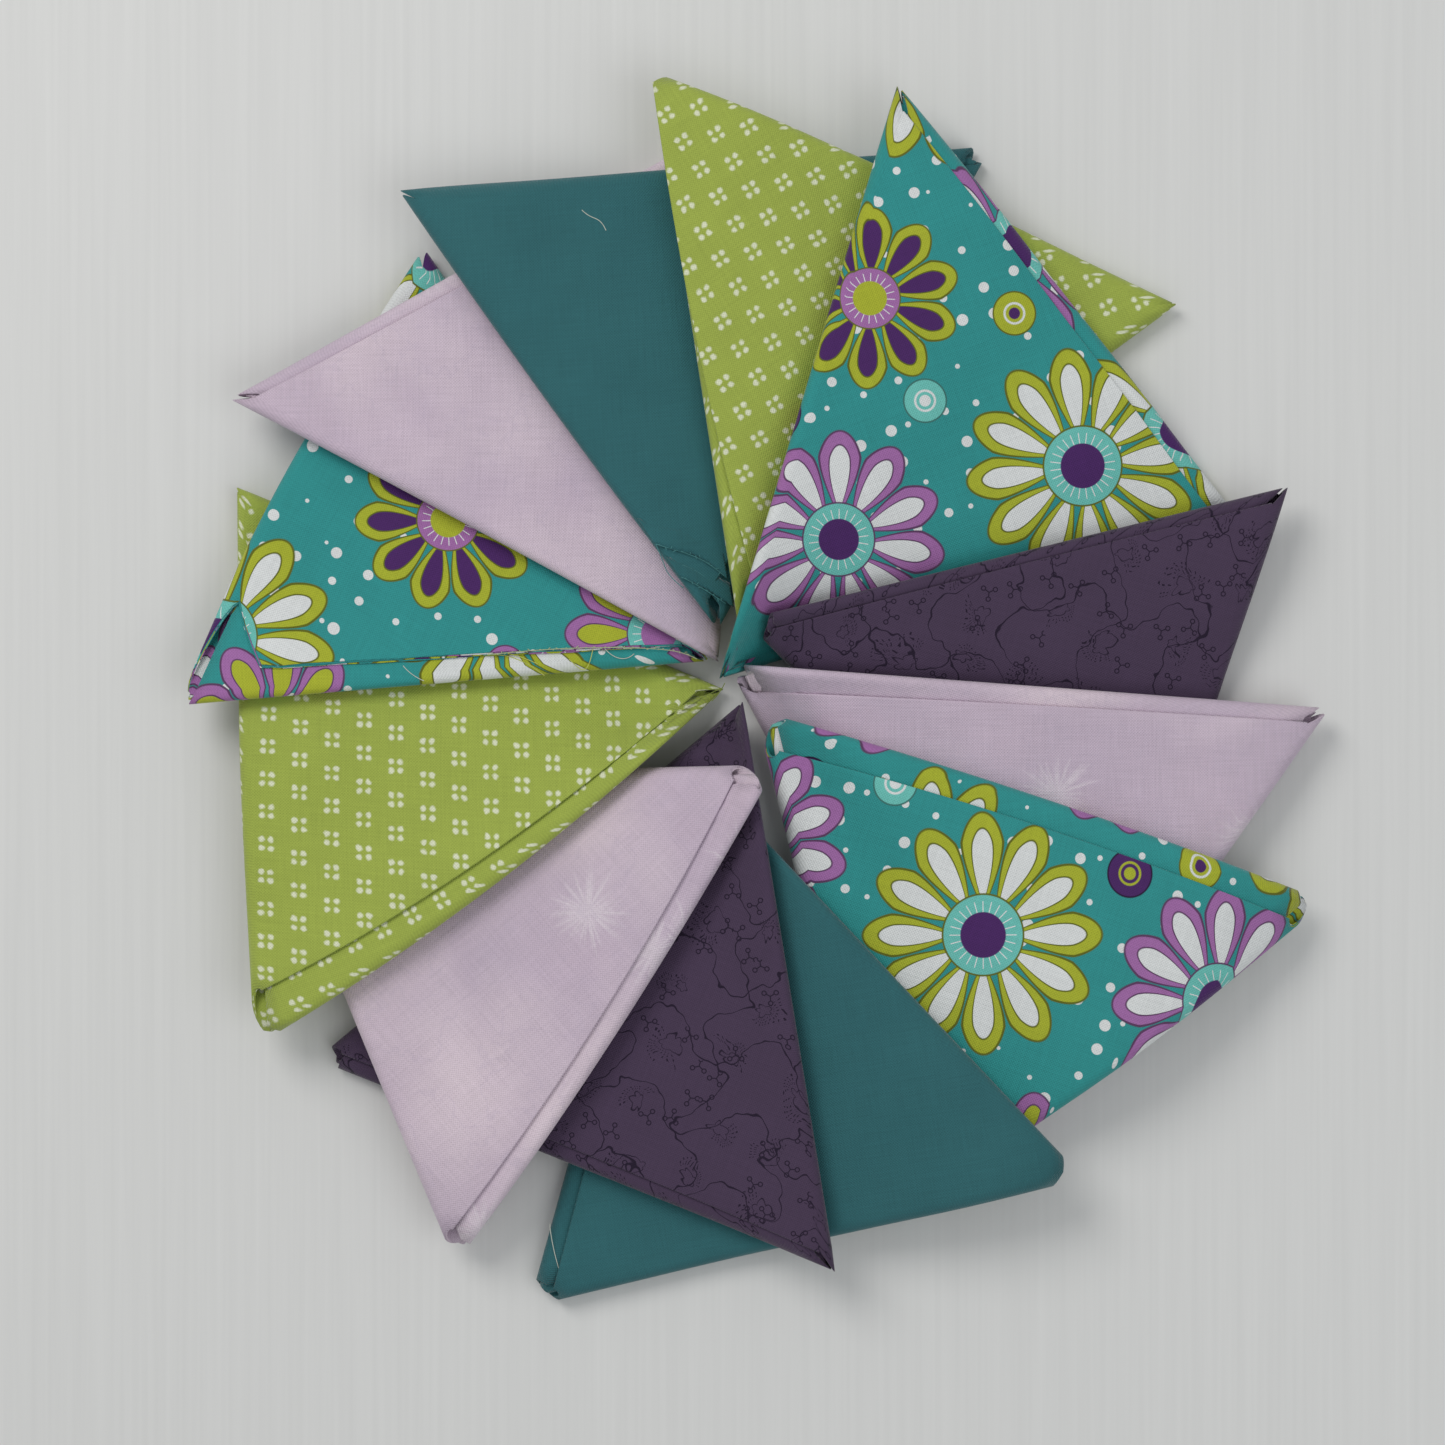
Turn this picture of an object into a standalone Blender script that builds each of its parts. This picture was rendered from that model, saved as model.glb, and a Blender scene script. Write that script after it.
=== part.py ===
"""Twelve fat quarters of quilting cotton, each folded into a flat triangle and laid in a pinwheel.

Every triangle is one long folded strip: the cloth is folded in four along its length, and the strip
is then turned over and over itself along the three sides of a triangle. The twelve packets lie in a
ring with their tips at the middle, each one on top of the packet before it.
"""

import math

import bmesh
import bpy
import numpy as np

MM = 0.001

# The folded strip, four plies of cotton pressed flat, and how its layers lie on each other
STRIP_THICK = 1.0 * MM
LAYER_GAP = 0.3 * MM
LAYER_PITCH = STRIP_THICK + LAYER_GAP

# The level that each turn of the strip lies at, from 1 at the bottom to 6 at the top
LEVELS = (3, 4, 2, 6, 1, 5)
TOP_LEVEL = max(LEVELS)
TOP_TURN = LEVELS.index(TOP_LEVEL)
TAIL_TURN = len(LEVELS) - 1
PACKET_THICK = TOP_LEVEL * STRIP_THICK + (TOP_LEVEL - 1) * LAYER_GAP

# How one packet lies over the packets below it
PACKETS_BELOW = 5
DRAPE_AT_CENTRE = 5.0 * MM
DRAPE_PER_RADIUS = 0.5
DRAPE_WIDEST = 55.0 * MM

# Mesh steps along a side, around a wide fold, around a narrow one, and down the tucked tail; the
# rows across a packet lie closer together towards its tip by this power
SIDE_STEPS = 7
TIP_CROWDING = 1.5
WIDE_FOLD_STEPS = 4
NARROW_FOLD_STEPS = 2
TAIL_STEPS = 4

# The widest fold stands this far outside the line where the flat layers end, the tail's fold a
# little less, and edges that end inside the packet stop short of that line
FOLD_REACH = (TOP_LEVEL - 1) * LAYER_PITCH / 2 + STRIP_THICK / 2
TAIL_FOLD_REACH = (LEVELS[TAIL_TURN] - 1) * LAYER_PITCH / 2 + STRIP_THICK / 2
INNER_EDGE_INSET = 1.5 * MM

# Neighbouring folds meet at a corner on its mitre line, less this share, which stays open
MITRE_SHARE = 0.9

# From the hole where the tips meet to the middle of the whole ring
RING_MIDDLE = (7.43 * MM, -0.35 * MM)

# Plan sizes in millimetres from the hole where the tips meet. Each packet has its tip there, a
# leading corner that lies on top of the packet before, and a trailing corner under the packet after.
# Tuck is the side where the tail goes in under the top layer, with the width of the band that it
# leaves at that side's two ends. Points says how far the three corners are drawn out to a point,
# from 0, where the rolled layers end square, to 1, and below 0 where the folds end short of it.
# Bows says how far the three sides bow outwards, from lead to trail, from tip to trail and from tip
# to lead. Air is the height left for the cloth's own unevenness between a packet and the one on it.
COLUMNS = ("corners", "tuck", "bands", "points", "bows", "air")
SIDES = {"lead_trail": 0, "tip_trail": 1, "tip_lead": 2}
PACKETS = {
    "packet_01_green": (((2.0, 18.1), (-23.1, 180.5), (131.3, 112.9)), "tip_lead",
        (7.5, 0), (1.0, -0.3, 1.0), (1.4, 0, 0), 1.9),
    "packet_02_flower": (((-3.3, 2.4), (49.0, 176.2), (150.0, 49.9)), "lead_trail",
        (4.5, 6), (0.75, 0.95, 0.7), (0, 0, 0), 2.3),
    "packet_03_purple": (((3.8, 20.8), (163.3, 60.0), (114.5, -91.6)), "tip_lead",
        (5, 4), (-0.2, 1.0, 0.7), (0, 0, 0), 2.2),
    "packet_04_lavender": (((-0.9, 8.4), (176.0, -4.7), (78.6, -141.0)), "tip_lead",
        (8, 5), (0.0, 0.8, 0.7), (0, 0, 0), 2.1),
    "packet_05_flower": (((7.1, -4.4), (176.2, -61.2), (45.3, -157.0)), "tip_lead",
        (10, 9), (-0.5, -0.4, 0.8), (1.7, 0, 1.8), 1.3),
    "packet_06_teal": (((-14.1, -16.5), (103.5, -141.1), (-59.2, -180.2)), "tip_trail",
        (4, 6), (0.8, -0.5, -0.3), (0, 0, 0), 1.8),
    "packet_07_purple": (((4.0, -2.5), (31.0, -168.9), (-121.8, -108.0)), "lead_trail",
        (4, 5), (1.0, 1.0, 0.0), (0, 0, 0), 2.0),
    "packet_08_lavender": (((15.2, -21.5), (-79.4, -168.6), (-138.4, -25.2)), "tip_lead",
        (9, 7), (-0.3, 0.0, 0.7), (0, 0, 2.6), 2.1),
    "packet_09_green": (((-0.7, 0.1), (-138.3, -106.1), (-144.2, 59.6)), "tip_lead",
        (4.5, 13), (0.95, -0.4, 1.0), (1.2, 0, 4.4), 1.1),
    "packet_10_flower": (((-5.4, 7.9), (-162.7, -5.4), (-89.6, 130.0)), "tip_lead",
        (6, 9), (0.8, 0.4, 0.7), (3.3, 0, 0), 1.1),
    "packet_11_lavender": (((-2.4, 7.6), (-145.5, 84.8), (-4.1, 164.1)), "lead_trail",
        (4, 5), (1.0, 0.85, 0.7), (0, 4.0, -0.5), 1.4),
    "packet_12_teal": (((-3.2, 16.2), (-96.5, 144.6), (77.5, 158.9)), "tip_trail",
        (7, 5), (0.6, 0.85, 0.3), (0, 0, 1.2), 1.0),
}

# Base colour and roughness of each cloth
CLOTHS = {
    "green": ((0.35, 0.45, 0.08), 0.85),
    "flower": ((0.035, 0.30, 0.27), 0.82),
    "purple": ((0.10, 0.06, 0.13), 0.85),
    "lavender": ((0.61, 0.50, 0.65), 0.85),
    "teal": ((0.042, 0.156, 0.162), 0.85),
}


def unit(vector):
    return vector / np.linalg.norm(vector)


def row_of(name):
    return dict(zip(COLUMNS, PACKETS[name]))


def corners_of(name):
    """A packet's three outer corners, tip, lead and trail, in metres about the middle of the ring."""
    return np.array(row_of(name)["corners"]) * MM - RING_MIDDLE


def inward(corners, side):
    """The direction across a side, from it towards the corner opposite."""
    along = corners[(side + 2) % 3] - corners[(side + 1) % 3]
    across = unit(np.array([-along[1], along[0]]))
    return across * np.sign(np.dot(corners[side] - corners[(side + 1) % 3], across))


def cover(corners, points):
    """1 where a packet lies at these points, falling smoothly to 0 outside its outline."""
    depths = [(points - corners[(side + 1) % 3]) @ inward(corners, side) for side in range(3)]
    outside = np.maximum(0, -np.min(depths, axis=0))
    radius = np.linalg.norm(points + RING_MIDDLE, axis=-1)
    width = np.minimum(DRAPE_AT_CENTRE + DRAPE_PER_RADIUS * radius, DRAPE_WIDEST)
    share = np.clip(outside / width, 0, 1)
    return np.where(share < 0.5, 1 - 2 * share**2, 2 * (1 - share) ** 2)


def lie_height(order, points):
    """The height of a packet's underside: the thickness and the air of each packet below it."""
    height = 0
    names = list(PACKETS)
    for step in range(1, PACKETS_BELOW + 1):
        below = names[(order - step) % len(names)]
        rise = PACKET_THICK + row_of(below)["air"] * MM
        height = height + rise * cover(corners_of(below), points)
    return height


def lie(order, plan):
    """Plan points laid on what is below them, as points in space."""
    plan = np.asarray(plan)
    return np.append(plan, lie_height(order, plan))


def fold_corners(corners):
    """The corners of the flat layers: moved in, so that the widest fold reaches the outline."""
    moved = []
    for i, corner in enumerate(corners):
        left = unit(corners[(i + 1) % 3] - corner)
        right = unit(corners[(i + 2) % 3] - corner)
        sine = abs(left[0] * right[1] - left[1] * right[0])
        moved.append(corner + (left + right) * FOLD_REACH / sine)
    return np.array(moved)


def fold_sides(tuck_side):
    """The side of each fold in turn, going round the triangle so that the last one is the tuck side."""
    return [(tuck_side - TAIL_TURN + 1 + turn) % 3 for turn in range(TAIL_TURN)]


def level_height(turn):
    return STRIP_THICK / 2 + (LEVELS[turn] - 1) * LAYER_PITCH


def turns_up(turn):
    """True where the strip's inner face is the upper one, so that its next fold goes up."""
    return turn % 2 == 0


def grid_keys(turn, tuck_side):
    """Barycentric steps of a layer's points; the tail reaches only part of the way in."""
    for i in range(SIDE_STEPS + 1):
        for j in range(SIDE_STEPS + 1 - i):
            key = (i, j, SIDE_STEPS - i - j)
            if turn != TAIL_TURN or key[tuck_side] <= TAIL_STEPS:
                yield key


def weights(key):
    """The share of each corner at a point of a layer: evenly spaced across, crowded to the tip."""
    from_tip = 1 - key[0] / SIDE_STEPS
    crowded = from_tip**TIP_CROWDING
    spread = crowded / from_tip if from_tip else 0
    return np.array([1 - crowded, key[1] / SIDE_STEPS * spread, key[2] / SIDE_STEPS * spread])


def plan_point(row, flat, key):
    """A point of a layer in plan, moved outwards where the sides bow."""
    share = weights(key)
    point = share @ flat
    for side, bow in enumerate(row["bows"]):
        swing = 4 * share[(side + 1) % 3] * share[(side + 2) % 3]
        point = point - inward(flat, side) * swing * bow * MM
    return point


def step_in(key, side):
    """The points of the next row in from a side, beside this point."""
    for other in ((side + 1) % 3, (side + 2) % 3):
        if key[other]:
            moved = list(key)
            moved[side] += 1
            moved[other] -= 1
            yield tuple(moved)


def free_edge_inset(key, side, turn, row):
    """How far a free edge stops short of the fold line: the top layer's leaves the tail showing."""
    if turn != TOP_TURN:
        return INNER_EDGE_INSET
    share = key[(side + 2) % 3] / SIDE_STEPS
    first, last = (band * MM - TAIL_FOLD_REACH for band in row["bands"])
    if side == SIDES["tip_trail"]:
        first, last = last, first
    return first + (last - first) * share


def layer_points(order, turn, row, flat):
    """The middle of one layer as it lies, by barycentric key, with its free edges drawn in."""
    tuck_side = SIDES[row["tuck"]]
    folds = fold_sides(tuck_side)
    laid = {key: lie(order, plan_point(row, flat, key)) for key in grid_keys(0, tuck_side)}
    free = {0, 1, 2} - set(folds[max(turn - 1, 0):turn + 1])
    points = {}
    for key in grid_keys(turn, tuck_side):
        points[key] = laid[key].copy()
        for side in free:
            if key[side] == 0:
                neighbours = [laid[near] for near in step_in(key, side)]
                step = sum(neighbours) / len(neighbours) - laid[key]
                depth = np.dot(step[:2], inward(flat, side))
                points[key] += step * free_edge_inset(key, side, turn, row) / depth
    return points


def side_keys(side):
    """The points along a side, from the corner after it to the corner before it."""
    for step in range(SIDE_STEPS + 1):
        key = [0, 0, 0]
        key[(side + 1) % 3] = SIDE_STEPS - step
        key[(side + 2) % 3] = step
        yield tuple(key)


def corner_draw(row, flat, corner):
    """How far a fold's end is drawn along its side at a corner, for each unit of its radius."""
    left = unit(flat[(corner + 1) % 3] - flat[corner])
    right = unit(flat[(corner + 2) % 3] - flat[corner])
    half_angle = math.acos(np.dot(left, right)) / 2
    return row["points"][corner] * MITRE_SHARE / math.tan(half_angle)


def strip_mesh(order, name):
    """One packet: six layers of the strip joined by five folds, as one closed bmesh."""
    row = row_of(name)
    flat = fold_corners(corners_of(name))
    tuck_side = SIDES[row["tuck"]]
    layers = [layer_points(order, turn, row, flat) for turn in range(len(LEVELS))]
    bm = bmesh.new()
    pairs = {}
    faces = []

    # Each point of the strip has a vertex on its inner face and one on its outer face
    for turn, points in enumerate(layers):
        half = STRIP_THICK / 2 if turns_up(turn) else -STRIP_THICK / 2
        for key, point in points.items():
            height = np.array([0, 0, level_height(turn)])
            rise = np.array([0, 0, half])
            pairs[turn, key] = (bm.verts.new(point + height + rise), bm.verts.new(point + height - rise))
        for i, j, k in points:
            for ring in (((i, j, k), (i - 1, j + 1, k), (i - 1, j, k + 1)),
                         ((i, j, k), (i - 1, j + 1, k), (i, j + 1, k - 1))):
                if all(key in points for key in ring):
                    faces.append([(turn, key) for key in ring])

    for turn, side in enumerate(fold_sides(tuck_side)):
        faces += fold_faces(bm, order, turn, side, row, flat, layers, pairs)
    close_strip(bm, pairs, faces)
    return bm


def fold_faces(bm, order, turn, side, row, flat, layers, pairs):
    """The round fold from one turn to the next along a side; returns its faces as keys of pairs."""
    middle = (level_height(turn) + level_height(turn + 1)) / 2
    radius = abs(level_height(turn) - level_height(turn + 1)) / 2
    steps = NARROW_FOLD_STEPS if radius < LAYER_PITCH else WIDE_FOLD_STEPS
    outward = -inward(flat, side)
    first_corner, last_corner = (side + 1) % 3, (side + 2) % 3
    along = unit(flat[last_corner] - flat[first_corner])
    first_draw = corner_draw(row, flat, first_corner)
    last_draw = corner_draw(row, flat, last_corner)
    rings = [[(turn, key) for key in side_keys(side)]]
    for step in range(1, steps):
        angle = math.pi * step / steps
        across = (1 - math.cos(angle)) / 2
        ring = []
        for place, key in enumerate(side_keys(side)):
            share = place / SIDE_STEPS
            base = layers[turn][key][:2] * (1 - across) + layers[turn + 1][key][:2] * across
            draw = share * last_draw - (1 - share) * first_draw
            ends = []
            for reach in (radius - STRIP_THICK / 2, radius + STRIP_THICK / 2):
                point = lie(order, base + (outward + along * draw) * reach * math.sin(angle))
                drop = reach * math.cos(angle)
                point[2] += middle - drop if turns_up(turn) else middle + drop
                ends.append(bm.verts.new(point))
            pairs["fold", turn, step, place] = tuple(ends)
            ring.append(("fold", turn, step, place))
        rings.append(ring)
    rings.append([(turn + 1, key) for key in side_keys(side)])
    return [
        [near[i], near[i + 1], far[i + 1], far[i]]
        for near, far in zip(rings, rings[1:])
        for i in range(SIDE_STEPS)
    ]


def close_strip(bm, pairs, faces):
    """Fills both faces of the strip and the wall along its open edges."""
    uses = {}
    for face in faces:
        for start, end in zip(face, face[1:] + face[:1]):
            uses.setdefault(frozenset((start, end)), []).append((start, end))
        for side in (0, 1):
            bm.faces.new([pairs[key][side] for key in face])
    for (start, end), *others in uses.values():
        if not others:
            bm.faces.new([pairs[start][0], pairs[end][0], pairs[end][1], pairs[start][1]])
    bmesh.ops.triangulate(bm, faces=bm.faces)
    bmesh.ops.recalc_face_normals(bm, faces=bm.faces)


def cloth_material(cloth):
    """The cotton of one cloth, shared by every packet cut from it."""
    if cloth in bpy.data.materials:
        return bpy.data.materials[cloth]
    colour, roughness = CLOTHS[cloth]
    material = bpy.data.materials.new(cloth)
    material.use_nodes = True
    shader = material.node_tree.nodes["Principled BSDF"]
    shader.inputs["Base Color"].default_value = (*colour, 1)
    shader.inputs["Roughness"].default_value = roughness
    shader.inputs["Metallic"].default_value = 0
    return material


for old in list(bpy.data.objects):
    bpy.data.objects.remove(old, do_unlink=True)

for order, name in enumerate(PACKETS):
    bm = strip_mesh(order, name)
    mesh = bpy.data.meshes.new(name)
    bm.to_mesh(mesh)
    bm.free()
    mesh.materials.append(cloth_material(name.split("_")[-1]))
    packet = bpy.data.objects.new(name, mesh)
    bpy.context.collection.objects.link(packet)
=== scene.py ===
"""Twelve fat quarters of quilting cotton, folded into triangles and laid in a pinwheel."""

import math

import bmesh
import bpy
import numpy as np
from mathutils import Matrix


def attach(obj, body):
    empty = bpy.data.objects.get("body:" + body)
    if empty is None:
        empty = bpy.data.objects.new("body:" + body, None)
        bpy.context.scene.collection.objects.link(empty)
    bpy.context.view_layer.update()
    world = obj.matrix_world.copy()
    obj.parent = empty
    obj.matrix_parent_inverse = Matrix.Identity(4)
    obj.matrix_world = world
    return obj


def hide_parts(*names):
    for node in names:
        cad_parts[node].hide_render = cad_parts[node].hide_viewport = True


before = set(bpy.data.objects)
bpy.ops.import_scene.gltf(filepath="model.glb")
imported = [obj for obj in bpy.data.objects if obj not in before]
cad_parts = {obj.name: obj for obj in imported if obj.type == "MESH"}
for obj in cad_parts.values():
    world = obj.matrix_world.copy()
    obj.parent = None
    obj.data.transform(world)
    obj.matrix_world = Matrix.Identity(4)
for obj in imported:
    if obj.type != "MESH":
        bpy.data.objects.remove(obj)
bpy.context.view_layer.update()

# The table and the light
# The bundle lies on a smooth, pale painted table top under soft daylight from the upper left, and
# is seen from straight above.
MM = 0.001
VIEW_WIDTH = 419.05 * MM
VIEW_MIDDLE = (-9.32 * MM, -9.08 * MM)
VIEW_DISTANCE = 1.6
MIDDLE_OF_BUNDLE = 14.0 * MM
SENSOR = 36.0
TABLE_COLOUR = (0.722, 0.722, 0.712)
TABLE_HALF_WIDTH = 2.5
TABLE_DROP = 0.2 * MM
# The brush marks: their scale, their stretch, and the darkest and lightest shares of the colour
BRUSH_SCALE = 40
BRUSH_STRETCH = (13, 0.2, 1)
BRUSH_TONES = (0.93, 1.04)
# Each lamp's place, width, power in watts and colour
LAMPS = {
    "window_lamp": ((-0.75, 0.85, 1.25), 0.9, 11.5, (1.0, 0.985, 0.96)),
    "fill_lamp": ((0.9, -0.5, 1.4), 1.4, 5.8, (0.95, 0.98, 1.0)),
}
SKY_COLOUR = (0.97, 0.99, 1.0, 1)
SKY_STRENGTH = 0.43


def wire(tree, socket, value):
    """Sets a socket to a value, or joins another node's output to it."""
    if isinstance(value, bpy.types.NodeSocket):
        tree.links.new(value, socket)
    else:
        socket.default_value = value


def maths(tree, operation, *values, clamp=False):
    """One sum as a Math node, held from 0 to 1 where it is clamped; returns its output."""
    made = tree.nodes.new("ShaderNodeMath")
    made.operation = operation
    made.use_clamp = clamp
    for socket, value in zip(made.inputs, values):
        wire(tree, socket, value)
    return made.outputs[0]


def layered(tree, share, below, above):
    """One colour over another by a share; returns the mixed colour."""
    made = tree.nodes.new("ShaderNodeMix")
    made.data_type = "RGBA"
    for index, value in ((0, share), (6, below), (7, above)):
        wire(tree, made.inputs[index], (*value, 1) if isinstance(value, tuple) else value)
    return made.outputs[2]


def clouded(tree, place, scale, detail, stretch=(1, 1, 1)):
    """A noise pattern from 0 to 1, its spots 1/scale metres across."""
    mapping = tree.nodes.new("ShaderNodeMapping")
    mapping.inputs["Scale"].default_value = stretch
    noise = tree.nodes.new("ShaderNodeTexNoise")
    noise.inputs["Scale"].default_value = scale
    noise.inputs["Detail"].default_value = detail
    tree.links.new(place, mapping.inputs["Vector"])
    tree.links.new(mapping.outputs[0], noise.inputs["Vector"])
    return noise.outputs[0]


def painted_table():
    material = bpy.data.materials.new("painted_table")
    material.use_nodes = True
    tree = material.node_tree
    shader = tree.nodes["Principled BSDF"]
    place = tree.nodes.new("ShaderNodeTexCoord").outputs["Object"]
    dark, light = (tuple(c * tone for c in TABLE_COLOUR) for tone in BRUSH_TONES)
    brushed = layered(tree, clouded(tree, place, BRUSH_SCALE, 3, BRUSH_STRETCH), dark, light)
    wire(tree, shader.inputs["Base Color"], brushed)
    shader.inputs["Roughness"].default_value = 0.5
    shader.inputs["Specular IOR Level"].default_value = 0.3
    return material


bm = bmesh.new()
bmesh.ops.create_grid(bm, x_segments=2, y_segments=2, size=TABLE_HALF_WIDTH)
bmesh.ops.translate(bm, vec=(0, 0, -TABLE_DROP), verts=bm.verts)
table_mesh = bpy.data.meshes.new("table_top")
bm.to_mesh(table_mesh)
bm.free()
table_mesh.materials.append(painted_table())
table_top = bpy.data.objects.new("table_top", table_mesh)
bpy.context.collection.objects.link(table_top)

for lamp_name, (place, size, energy, colour) in LAMPS.items():
    lamp = bpy.data.lights.new(lamp_name, "AREA")
    lamp.shape = "DISK"
    lamp.size = size
    lamp.energy = energy
    lamp.color = colour
    lamp_object = bpy.data.objects.new(lamp_name, lamp)
    lamp_object.location = place
    lamp_object.rotation_euler = (-lamp_object.location).to_track_quat("-Z", "Y").to_euler()
    bpy.context.collection.objects.link(lamp_object)

sky = bpy.data.worlds.new("sky")
sky.use_nodes = True
sky.node_tree.nodes["Background"].inputs["Color"].default_value = SKY_COLOUR
sky.node_tree.nodes["Background"].inputs["Strength"].default_value = SKY_STRENGTH
bpy.context.scene.world = sky
bpy.context.scene.view_settings.view_transform = "Standard"

camera = bpy.data.cameras.new("camera_above")
camera.sensor_width = SENSOR
camera.lens = SENSOR * VIEW_DISTANCE / VIEW_WIDTH
camera_object = bpy.data.objects.new("camera_above", camera)
camera_object.location = (*VIEW_MIDDLE, MIDDLE_OF_BUNDLE + VIEW_DISTANCE)
bpy.context.collection.objects.link(camera_object)
bpy.context.scene.camera = camera_object

# The two green fat quarters
# Each fat quarter is a piece of plain-woven quilting cotton, 457 by 559 mm. It is pressed in four
# along its length, and the strip is then turned over and over itself round a triangle, with its
# end tucked in. The green cloth is printed all over with small clusters of four white dots.
PLIES = 4
PLY_THICK = 0.2 * MM
PLY_PITCH = 0.267 * MM
STRIP_THICK = 1.0 * MM
LAYER_PITCH = 1.3 * MM
LEVELS = (3, 4, 2, 6, 1, 5)
PACKET_THICK = 7.5 * MM
TOP_TURN = 3
TAIL_TURN = 5
TAIL_SHARE = 0.57
PACKETS_BELOW = 5
DRAPE_AT_CENTRE = 5.0 * MM
DRAPE_PER_RADIUS = 0.5
DRAPE_WIDEST = 55.0 * MM
FOLD_REACH = 3.75 * MM
TAIL_FOLD_REACH = 3.1 * MM
INNER_EDGE_INSET = 1.5 * MM
INSET_FADES = 30.0 * MM
SIDE_STEPS = 24
FOLD_STEPS = 8
LIP_STEPS = 5
LIP_SHARE = 0.01
LIP_CLOTH_STEP = 0.3 * MM
RAW_LIP_WIDTH = 0.4 * MM
RING_MIDDLE = np.array((7.43, -0.35)) * MM
# A triangle's sides, each numbered as the corner opposite
TIP_LEAD, TIP_TRAIL, LEAD_TRAIL = 2, 1, 0

# Millimetres from the hole where the tips meet: the corners, the tucked side with the width of the
# band that it leaves at its two ends and its middle, how far the corners are drawn to a point, the
# air above the packet, the turn of the print on its top in degrees, and how far its three sides bow
# outwards, which are lead to trail, tip to trail and tip to lead
COLUMNS = ("corners", "tuck", "bands", "points", "air", "grain", "bows")
RING = {
    "01_green": (((2.0, 18.1), (-23.1, 180.5), (131.3, 112.9)), TIP_LEAD,
                 (7.5, 1.2, 0), (1.05, -0.3, 1.05), 1.9, 32, (1.4, 0, 0)),
    "02_flower": (((-3.3, 2.4), (49.0, 176.2), (150.0, 49.9)), LEAD_TRAIL,
                  (4.5, 5, 6), (1.05, 0.95, 0.7), 2.3, 20, (0, 0, 0)),
    "03_purple": (((3.8, 20.8), (163.3, 60.0), (114.5, -91.6)), TIP_LEAD,
                  (5, 4, 4), (-0.2, 1.05, 0.7), 2.2, 75, (0, 0, 0)),
    "04_lavender": (((-0.9, 8.4), (176.0, -4.7), (78.6, -141.0)), TIP_LEAD,
                    (8, 6, 5), (0.4, 0.8, 0.7), 2.1, 0, (0, 0, 0)),
    "05_flower": (((7.1, -4.4), (176.2, -61.2), (45.3, -157.0)), TIP_LEAD,
                  (10, 8.5, 9), (-0.5, -0.4, 0.8), 1.3, -18, (1.7, 0, 1.8)),
    "06_teal": (((-14.1, -16.5), (103.5, -141.1), (-59.2, -180.2)), TIP_TRAIL,
                (4, 5, 6), (0.8, -0.5, -0.3), 1.8, 10, (0, 0, 0)),
    "07_purple": (((4.0, -2.5), (31.0, -168.9), (-121.8, -108.0)), LEAD_TRAIL,
                  (4, 5, 5), (1.05, 1.05, 0.0), 2.0, 160, (0, 0, 0)),
    "08_lavender": (((15.2, -21.5), (-79.4, -168.6), (-138.4, -25.2)), TIP_LEAD,
                    (9, 7, 7), (-0.3, 0.0, 0.7), 2.1, 40, (0, 0, 2.6)),
    "09_green": (((-0.7, 0.1), (-138.3, -106.1), (-144.2, 59.6)), TIP_LEAD,
                 (4.5, 8.5, 13), (1.05, -0.4, 1.05), 1.1, -1, (1.2, 0, 4.4)),
    "10_flower": (((-5.4, 7.9), (-162.7, -5.4), (-89.6, 130.0)), TIP_LEAD,
                  (5.0, 7.4, 8.8), (1.05, 0.4, 0.7), 1.1, 150, (3.3, 0, 0)),
    "11_lavender": (((-2.4, 7.6), (-145.5, 84.8), (-4.1, 164.1)), LEAD_TRAIL,
                    (4, 5, 5), (1.05, 0.85, 0.7), 1.4, 90, (0, 4.0, -0.5)),
    "12_teal": (((-3.2, 16.2), (-96.5, 144.6), (77.5, 158.9)), TIP_TRAIL,
                (7, 6, 5), (1.0, 0.95, 0.3), 1.0, 5, (0, 0, 1.2)),
}

# The corners are rounded off by this radius, so that each packet ends in a soft nose
NOSE = 0.9 * MM

# Where the top layer's end is turned back at the lead corner: how much wider its band is there, in
# millimetres, and the share of the side that it widens over
TURNED_BACK = {"10_flower": (19, 0.13)}

# Where the print falls on the innermost ply of a packet's top: a point in millimetres from the
# hole, and the point of the print's repeat that lies there. On each ply outside it the print is
# CLOTH_BETWEEN_PLIES further on
PRINT_PLACES = {
    "02_flower": ((58.3, 63.8), (24, 28)),
    "05_flower": ((104.7, -62.4), (94, 32)),
    "10_flower": ((-115.7, 55.1), (58, 92)),
}


def row_of(name):
    return dict(zip(COLUMNS, RING[name]))


def corners_of(name):
    """Tip, lead and trail corners in metres about the middle of the ring."""
    return np.array(row_of(name)["corners"]) * MM - RING_MIDDLE


def unit(vector):
    return vector / np.linalg.norm(vector)


def inward(corners, side):
    """The direction across a side, towards the corner opposite."""
    along = corners[(side + 2) % 3] - corners[(side + 1) % 3]
    across = unit(np.array([-along[1], along[0]]))
    return across * np.sign(np.dot(corners[side] - corners[(side + 1) % 3], across))


def cover(corners, points):
    """1 where a packet lies at these points, falling smoothly to 0 outside its outline."""
    depths = [(points - corners[(side + 1) % 3]) @ inward(corners, side) for side in range(3)]
    outside = np.maximum(0, -np.min(depths, axis=0))
    radius = np.linalg.norm(points + RING_MIDDLE, axis=-1)
    width = np.minimum(DRAPE_AT_CENTRE + DRAPE_PER_RADIUS * radius, DRAPE_WIDEST)
    share = np.clip(outside / width, 0, 1)
    return np.where(share < 0.5, 1 - 2 * share**2, 2 * (1 - share) ** 2)


def lie_height(name, points):
    """The height of a packet's underside: the thickness and the air of each packet below it."""
    names = list(RING)
    height = 0
    for step in range(1, PACKETS_BELOW + 1):
        below = names[(names.index(name) - step) % len(names)]
        rise = PACKET_THICK + row_of(below)["air"] * MM
        height = height + rise * cover(corners_of(below), points)
    return height


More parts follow.
